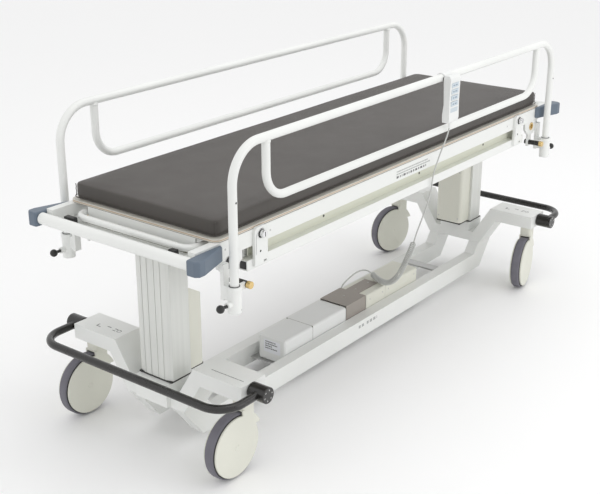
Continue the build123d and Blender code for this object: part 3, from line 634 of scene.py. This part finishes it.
# ---------------------------------------------------------------- mattress
def make_mattress():
    low, high = drawn_box("mattress")
    inset = 0.003
    bm = bmesh.new()
    bmesh.ops.create_cube(bm, size=1.0)
    size = high - low - Vector((2 * inset, 2 * inset, inset))
    centre = (low + high) / 2 - Vector((0, 0, inset / 2))
    bm.transform(Matrix.Translation(centre) @ Matrix.Diagonal((*size, 1.0)))
    upright = [e for e in bm.edges if abs((e.verts[0].co - e.verts[1].co).z) > size.z * 0.5]
    bmesh.ops.bevel(bm, geom=upright, offset=0.024, segments=6, profile=0.5, affect="EDGES")
    rims = [e for e in bm.edges if len(e.link_faces) == 2 and abs(e.verts[0].co.z - e.verts[1].co.z) < 1e-5
            and max(abs(f.normal.z) for f in e.link_faces) > 0.9]
    bmesh.ops.bevel(bm, geom=rims, offset=0.007, segments=3, profile=0.5, affect="EDGES")
    mesh = bpy.data.meshes.new("mattress_pad")
    bm.to_mesh(mesh)
    bm.free()
    pad = bpy.data.objects.new("mattress_pad", mesh)
    bpy.context.scene.collection.objects.link(pad)
    bpy.context.view_layer.objects.active = pad
    pad.select_set(True)
    remesh = pad.modifiers.new("remesh", "REMESH")
    remesh.mode = "VOXEL"
    remesh.voxel_size = 0.0085
    bpy.ops.object.modifier_apply(modifier="remesh")
    rest = [v.co.copy() for v in pad.data.vertices]
    inflate(pad, rest, 0.0035)
    for vertex, start in zip(pad.data.vertices, rest):
        vertex.co = limited(vertex.co, low, high)
        if start.z < low.z + 0.004:
            vertex.co.z = low.z
    shape_cover(pad, low, high)
    subdivide = pad.modifiers.new("subdivide", "SUBSURF")
    subdivide.levels = 1
    subdivide.render_levels = 1
    bpy.ops.object.modifier_apply(modifier="subdivide")
    for polygon in pad.data.polygons:
        polygon.use_smooth = True
    pad.data.materials.append(FABRIC)
    pad.data.transform(Matrix.Translation(ORIGIN_SHIFT))
    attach(pad, "deck")
    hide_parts("mattress")
    add_seams(low, high)


def limited(place, low, high):
    return Vector([min(max(value, a), b) for value, a, b in zip(place, low, high)])


def inflate(pad, rest, cap):
    cloth = pad.modifiers.new("cloth", "CLOTH")
    cloth.settings.quality = 4
    cloth.settings.mass = 0.3
    cloth.settings.tension_stiffness = 20
    cloth.settings.compression_stiffness = 20
    cloth.settings.bending_stiffness = 2.0
    cloth.settings.use_pressure = True
    cloth.settings.uniform_pressure_force = 4.0
    cloth.settings.effector_weights.gravity = 0.0
    cloth.collision_settings.use_collision = False
    scene = bpy.context.scene
    for step in range(1, 21):
        scene.frame_set(step)
    bpy.ops.object.modifier_apply(modifier="cloth")
    scene.frame_set(1)
    for vertex, start in zip(pad.data.vertices, rest):
        move = vertex.co - start
        if move.length > cap:
            vertex.co = start + move.normalized() * cap


def shape_cover(pad, low, high):
    """Settle the cover: a slight crown, soft unevenness, and gathers on the sides near the corners."""
    crown = 0.0018
    for vertex in pad.data.vertices:
        place = vertex.co
        height = (place.z - low.z) / (high.z - low.z)
        if height < 0.15:
            continue
        edge_x = min(place.x - low.x, high.x - place.x)
        edge_y = min(place.y - low.y, high.y - place.y)
        edge = min(edge_x, edge_y)
        wave = math.sin(place.x * 9.1 + 1.3) * math.sin(place.y * 13.7 + place.x * 2.2)
        if height > 0.9:
            place.z = min(high.z, place.z - 0.0015 + wave * 0.0007 + crown * min(1.0, edge / 0.12) - crown)
        if edge < 0.004 and 0.15 < height < 0.95:
            from_corner = edge_x if edge_y < edge_x else edge_y
            near_corner = math.exp(-(from_corner / 0.05) ** 2)
            along = place.x if edge_y < edge_x else place.y
            fold = math.sin(along * 210.0 + height * 4.0) * (0.0001 + 0.0014 * near_corner)
            fold += math.sin(along * 47.0 + height * 2.0) * 0.0004
            if edge_y < edge_x:
                inward = Vector((0.0, math.copysign(1.0, -place.y), 0.0))
            else:
                inward = Vector((math.copysign(1.0, (low.x + high.x) / 2 - place.x), 0.0, 0.0))
            place += inward * (0.0012 + fold)


def add_seams(low, high):
    """Piped seam round the bottom edge and a stitched seam up each corner."""
    radius = 0.0013
    inset = 0.0022
    corner = 0.024
    line = []
    corners = ((high.x, high.y, 0), (low.x, high.y, 90), (low.x, low.y, 180), (high.x, low.y, 270))
    for cx, cy, start in corners:
        ox = cx - math.copysign(corner, cx - (low.x + high.x) / 2)
        oy = cy - math.copysign(corner, cy)
        for k in range(9):
            angle = math.radians(start + 90 * k / 8)
            reach = corner - inset
            line.append(Vector((ox + reach * math.cos(angle), oy + reach * math.sin(angle), low.z + 0.0075)))
    line.append(line[0].copy())
    mesh = tube_mesh("mattress_bottom_seam", line, radius, 8)
    finish_piece("mattress_bottom_seam", mesh, FABRIC, "deck")
    for name, cx, cy in (("foot_near", low.x, low.y), ("foot_far", low.x, high.y),
                         ("head_near", high.x, low.y), ("head_far", high.x, high.y)):
        ox = cx - math.copysign(corner, cx - (low.x + high.x) / 2)
        oy = cy - math.copysign(corner, cy)
        out = Vector((cx - ox, cy - oy, 0)).normalized() * (corner - 0.0055)
        foot = Vector((ox, oy, low.z + 0.008)) + out
        seam = [foot + Vector((0, 0, 0.0046 * k)) + out * 0.03 * math.sin(k * 1.7) for k in range(9)]
        seam_name = f"mattress_corner_seam_{name}"
        finish_piece(seam_name, tube_mesh(seam_name, seam, radius, 8), FABRIC, "deck")


# ---------------------------------------------------------------- small pieces
def castor_details():
    """Dark gap ring and axle cap on each side of the wheel."""
    for end, side in CORNERS:
        corner = f"{end}_{side}"
        swivel = f"castor_{corner}"
        low, high = drawn_box(f"wheel_{corner}")
        hub = (low + high) / 2 / MM
        heading = math.radians(CASTOR_HEADING[corner])
        axle = Vector((-math.sin(heading), math.cos(heading), 0.0))
        bm = bmesh.new()
        for out in (-1, 1):
            face = hub + axle * out * 22.3
            profile = [(-0.3, 11.0), (0.7, 10.2), (0.9, 7.0), (0.5, 6.4), (0.5, 0.0)]
            add_lathe(bm, face, axle * out, profile, 36)
        from_bmesh(f"axle_caps_{corner}", bm, CREAM, swivel)
        # painted shade: a thin dark ring in the gap between tyre and wheel core
        bm = bmesh.new()
        for out in (-1, 1):
            face = hub + axle * out * 16.2
            add_lathe(bm, face, axle * out, [(0.0, 95.5), (0.9, 95.0), (0.9, 90.5), (0.0, 90.0)], 96)
        from_bmesh(f"tyre_gap_shade_{corner}", bm, DARK, f"wheel_{corner}")


def brake_bar_details():
    """Ring of six screws on the outer face of each hub."""
    circle = 16.0
    for end, side in CORNERS:
        low, high = drawn_box(f"brake_bar_{end}")
        face = Vector((BRAKE_HUB_X[end], (high.y if side == "far" else low.y) / MM, BRAKE_HUB_Z))
        out = Vector((0, SIDE[side], 0))
        places = []
        for k in range(6):
            angle = math.radians(60 * k + 15)
            spoke = Vector((math.cos(angle) * circle, 0, math.sin(angle) * circle))
            places.append(face + spoke - out * 0.6)
        screws(f"hub_screws_{end}_{side}", places, out, 2.6, ZINC, f"{end}_brake", 0.9)


def deck_details():
    """Plugs, screws, dark slots and the rail hardware on the deck."""
    # painted shade: thin dark sheets set in the end plate's slots stand for the shade inside them
    block("slot_shade_inner", (-948.5, -203.0, 670.6), (-931.5, 203.0, 671.8), DARK_OLIVE, "deck", 0.2)
    block("slot_shade_outer", (-998.0, -184.0, 670.6), (-974.0, -12.0, 671.8), DARK_OLIVE, "deck", 0.2)
    bm = bmesh.new()
    for x, y, reach in ((-984.0, 214.0, 20.0), (-990.0, -196.0, 12.0)):
        add_block(bm, (x - 9, y - reach, PLATE_TOP), (x + 9, y + reach, PLATE_TOP + 24), 2.5)
    from_bmesh("end_plate_stops", bm, BLACK_PLASTIC, "deck")
    bm = bmesh.new()
    for side in (-1, 1):
        y0, y1 = sorted((side * 264.0, side * 286.0))
        add_block(bm, (-802.9, y0, 602), (-800.0, y1, 624), 1.2)
        add_block(bm, (834.0, y0, 602), (836.9, y1, 624), 1.2)
    from_bmesh("ledge_plugs", bm, BLACK_PLASTIC, "deck")
    places = [(-996.0 + 30.0 * k, y, PLATE_TOP) for k in range(2) for y in (-232.0, -210.0, 242.0, 256.0)]
    screws("end_plate_screws", places, (0, 0, 1), 3.4, ZINC, "deck", 1.6)
    for side in ("near", "far"):
        s = SIDE[side]
        out = (0, s, 0)
        places = [(x, s * PANEL_FACE_Y, 690) for x in (-890.0, -700.0, 700.0, 985.0)]
        screws(f"panel_screws_{side}", places, out, 3.2, ZINC, "deck", 1.0)
        # painted shade: dark discs stand for the shade inside the holes in the web
        web = [(x, s * 268.0, 648.0) for x in (-420.0, 120.0, 560.0)]
        lathe_many(f"web_hole_shade_{side}", web, out, [(0.0, 4.2), (0.3, 4.2), (0.3, 0.0)], DARK, "deck")
        for end in ("foot", "head"):
            y = s * PIVOT_PLATE_FACE_Y
            pin = (PIVOT_PIN_X[end], y, PIVOT_Z)
            hole = (PIVOT_PLATE_X[end] - 4, y, 646)
            rim = [(0.0, 17.5), (1.1, 16.8), (1.1, 14.6), (0.05, 13.6)]
            shadow = [(0.12, 13.6), (0.12, 10.6)]
            lathe(f"pivot_rim_{end}_{side}", pin, out, rim, WHITE, "deck", 48)
            lathe(f"pivot_shadow_{end}_{side}", pin, out, shadow, DARK, "deck", 48)
            # painted shade: a dark disc stands for the shade in the plate's hole
            lathe(f"plate_hole_shade_{end}_{side}", hole, out, [(0.1, 3.4), (0.1, 0.0)], DARK, "deck", 24)
            add_pin_details(end, side)
            if end == "foot":
                ring = [(0.0, 19.5), (0.8, 19.2), (0.8, 8.2), (-2.0, 8.0)]
                lug = (LUG_X[end], s * 291.0, LUG_Z)
                lathe(f"lug_boss_{end}_{side}", lug, out, ring, BLACK_PLASTIC, "deck", 48)


def add_pin_details(end, side):
    """Slot across the pin's head and dark neck behind it, both painted shade, and the raised arched lip round
    it on the plate.
    """
    s = SIDE[side]
    pin_x = PIVOT_PIN_X[end]
    plate_x = PIVOT_PLATE_X[end]
    y0, y1 = sorted((s * 313.2, s * 314.3))
    block(f"pin_slot_shade_{end}_{side}", (pin_x - 1.3, y0, 691.0), (pin_x + 1.3, y1, 705.0), DARK, "deck", 0.2)
    neck = [(0.0, 10.9), (2.4, 10.9), (2.4, 10.5)]
    lathe(f"pin_neck_shade_{end}_{side}", (pin_x, s * 300.3, PIVOT_Z), (0, s, 0), neck, DARK, "deck",
          40)
    reach = 22.0
    arch_z = 688.0
    lip_y = s * 299.2
    line = [Vector((plate_x - reach, lip_y, 640.0 + 8.0 * k)) * MM for k in range(7)]
    for k in range(1, 9):
        angle = math.pi * (1.0 - k / 8)
        arch = (plate_x + reach * math.cos(angle), lip_y, arch_z + reach * math.sin(angle))
        line.append(Vector(arch) * MM)
    lip_name = f"plate_lip_{end}_{side}"
    finish_piece(lip_name, tube_mesh(lip_name, line, 0.0009, 8), STEEL, "deck")


def lathe_many(name, places, direction, profile, material, body, steps=24):
    bm = bmesh.new()
    for place in places:
        add_lathe(bm, place, direction, profile, steps)
    return from_bmesh(name, bm, material, body)


def socket_details():
    """Black bush in the mouth of each socket and a grub screw near its foot."""
    for end, side in CORNERS:
        s = SIDE[side]
        leg_x = RAIL_LEG_X[end]
        leg_y = s * RAIL_LEG_Y
        bush = [(0.0, 15.6), (0.9, 15.4), (1.4, 14.8), (1.4, 13.4), (0.0, 13.2)]
        grub = [(-1.0, 2.4), (0.6, 2.2), (0.6, 1.2), (0.0, 0.0)]
        lathe(f"socket_bush_{end}_{side}", (leg_x, leg_y, 600.0), (0, 0, 1), bush, BLACK_PLASTIC, "deck",
              40)
        lathe(f"socket_grub_{end}_{side}", (leg_x + 6.0, leg_y + s * 18.0, 533.0), (0.3, s, 0), grub, ZINC,
              "deck", 16)


def rail_details():
    """Detent holes on the outside of each leg, drawn as dark discs of painted shade, and weld beads where the
    inner loop meets the rail.
    """
    for side in ("near", "far"):
        s = SIDE[side]
        body = f"{side}_rail"
        holes = [(x, s * 343.4, 835.0) for x in RAIL_LEG_X.values()]
        lathe_many(f"detent_hole_shade_{side}", holes, (0, s, 0), [(0.0, 3.0), (0.2, 3.0), (0.2, 0.0)], DARK, body,
                   20)
        bead = [(-2.0, 12.0), (0.5, 13.0), (3.5, 13.6), (6.0, 12.2)]
        bm = bmesh.new()
        for x in (-765.0, 811.0):
            add_lathe(bm, (x, s * RAIL_LEG_Y, 965.0), (0, 0, 1), bead, 32)
        from_bmesh(f"rail_welds_{side}", bm, WHITE, body)


def column_details():
    """Dark strip under each column, painted as the shade of the gap at its foot, and the gap (painted shade)
    and screws of the motor housing on its inboard side.
    """
    for end in ("foot", "head"):
        x = COLUMN_X[end]
        bm = bmesh.new()
        add_block(bm, (x - 43.5, -67.5, 213.5), (x + 43.5, 67.5, 217.5), 0.8)
        from_bmesh(f"column_foot_shade_{end}", bm, DARK, "chassis")
        inboard = x - END[end] * 42.0
        slot_low = min(inboard - END[end] * 4.0, inboard - END[end] * 66.0)
        slot_high = max(inboard - END[end] * 4.0, inboard - END[end] * 66.0)
        block(f"housing_foot_gap_shade_{end}", (slot_low, -54.0, 216.0), (slot_high, 54.0, 222.2), DARK, "chassis",
              0.5)
        housing_face_x = x - END[end] * 110.0
        places = [(housing_face_x, y, z) for y in (-44.0, 44.0) for z in (240.0, 436.0)]
        screws(f"housing_screws_{end}", places, (-END[end], 0, 0), 3.0, ZINC, "chassis", 1.0)


def chassis_details():
    """Control box label, box and bracket screws, box gaps, and the generic printed marks."""
    face_x = drawn_box("control_box_cap")[0].x / MM
    bm = bmesh.new()
    add_block(bm, (face_x - 0.35, -48.0, 84.0), (face_x + 0.1, 22.0, 130.0), 0.1)
    from_bmesh("control_label", bm, LABEL, "chassis", smooth=False)
    print_marks("control_label_marks", (face_x - 0.35, 16.0, 121.0), (0, -1, 0), (0, 0, 1),
                [44, 52, 30, 50], 4.2, 3, PRINT, "chassis")
    screws("control_box_screws", [(face_x + 5.5, y, 66.0) for y in (-58.0, 36.0)], (-1, 0, 0), 2.6, ZINC,
           "chassis", 1.0)
    near_y = drawn_box("supply_boxes")[0].y / MM
    places = [(x, near_y, z) for x in (140.0, 222.0, 262.0, 440.0) for z in (74.0, 124.0)]
    screws("supply_box_screws", places, (0, -1, 0), 3.0, ZINC, "chassis", 0.9)
    places = [(x, -8.0, 148.0) for x in (60.0, 135.0, 215.0)]
    screws("bracket_screws", places, (0, 0, 1), 3.4, ZINC, "chassis", 1.4)
    print_marks("rail_print", (4.0, -115.0, 68.0), (1, 0, 0), (0, 0, 1), [38], 11.0, 11, FAINT_PRINT,
                "chassis", 2.6)
    print_marks("rail_print_wide", (54.0, -115.0, 68.0), (1, 0, 0), (0, 0, 1), [66], 11.0, 12, FAINT_PRINT,
                "chassis", 2.6)
    # painted shade: dark strips stand for the shade in the seam between the two boxes and in the gap at the
    # box end
    block("box_seam_shade", (-205.9, -68.25, 53.0), (-204.7, 46.25, 143.25), DARK_OLIVE, "chassis", 0.0)
    block("box_end_gap_shade", (-10.8, -68.4, 53.5), (-4.0, -62.0, 66.0), DARK, "chassis", 0.5)
    print_marks("panel_print_upper", (-55.0, -PANEL_FACE_Y, 696.0), (1, 0, 0), (0, 0, 1), [190, 205], 4.5, 21,
                FAINT_PRINT, "deck")
    print_marks("panel_print_lower", (-55.0, -PANEL_FACE_Y, 676.0), (1, 0, 0), (0, 0, 1), [180], 7.5, 22,
                PRINT, "deck", 3.4)
    print_marks("arm_print_near", (-862.0, -322.0, ARM_TOP_Z), (0, 1, 0), (-1, 0, 0), [120], 3.2, 31, PRINT,
                "chassis")
    for name, x, y in (("foot_far", -850.0, 235.0), ("head_near", 915.0, -250.0)):
        arm_symbol(f"arm_symbol_{name}", x, y)


def arm_symbol(name, x, y):
    """Generic pedal symbol: a corner arrow, a small ring and two bars, flat on the arm."""
    bm = bmesh.new()
    z = ARM_TOP_Z
    strokes = ((-14, 26, -11, 44), (-14, 41, 2, 44), (2, -6, 5, 10), (-8, -34, -5, -22), (4, -34, 7, -22))
    for x0, y0, x1, y1 in strokes:
        add_block(bm, (x + x0, y + y0, z - 0.1), (x + x1, y + y1, z + 0.2))
    add_lathe(bm, (x, y - 44.0, z), (0, 0, 1), [(0.0, 8.0), (0.2, 8.0), (0.2, 6.0), (0.0, 6.0)], 28)
    from_bmesh(name, bm, PRINT, "chassis", smooth=False)


def handset_details():
    """Two printed marks on each key, the pale panel below the keys, and the tips of the hook."""
    low, high = drawn_box("handset")
    x0, x1 = low.x / MM, high.x / MM
    face = -373.0
    rows = [drawn_box(f"handset_button_{k}") for k in (1, 2, 3, 4)]
    for k, (a, b) in enumerate(rows):
        xa, xb = a.x / MM, b.x / MM
        za, zb = a.z / MM, b.z / MM
        bm = bmesh.new()
        mid = (xa + xb) / 2
        for x, width in ((mid - 10.0, 8.0), (mid + 5.0, 12.0)):
            add_block(bm, (x - width / 2, a.y / MM - 0.3, (za + zb) / 2 - 2.0),
                      (x + width / 2, a.y / MM + 0.4, (za + zb) / 2 + 2.0), 0.2, 1)
        from_bmesh(f"key_mark_{k + 1}", bm, KEY_MARK, f"key_{k + 1}")
    lowest = min(r[0].z for r in rows) / MM
    block("handset_lower_panel", (x0 + 8, face + 0.6, 850.0), (x1 - 8, face + 2.4, lowest - 6.0), KEY_PANEL,
          "handset", 0.4)
    bm = bmesh.new()
    for x in (x0 + 2.0, x1 - 2.0):
        add_block(bm, (x - 2.6, -346.5, 972.0), (x + 2.6, -343.8, 984.0), 1.0)
    from_bmesh("hook_tips", bm, BLACK_PLASTIC, "handset")


make_camera()
make_studio()
paint_cad_nodes()
make_cords()
make_mattress()
castor_details()
brake_bar_details()
deck_details()
socket_details()
rail_details()
column_details()
chassis_details()
handset_details()
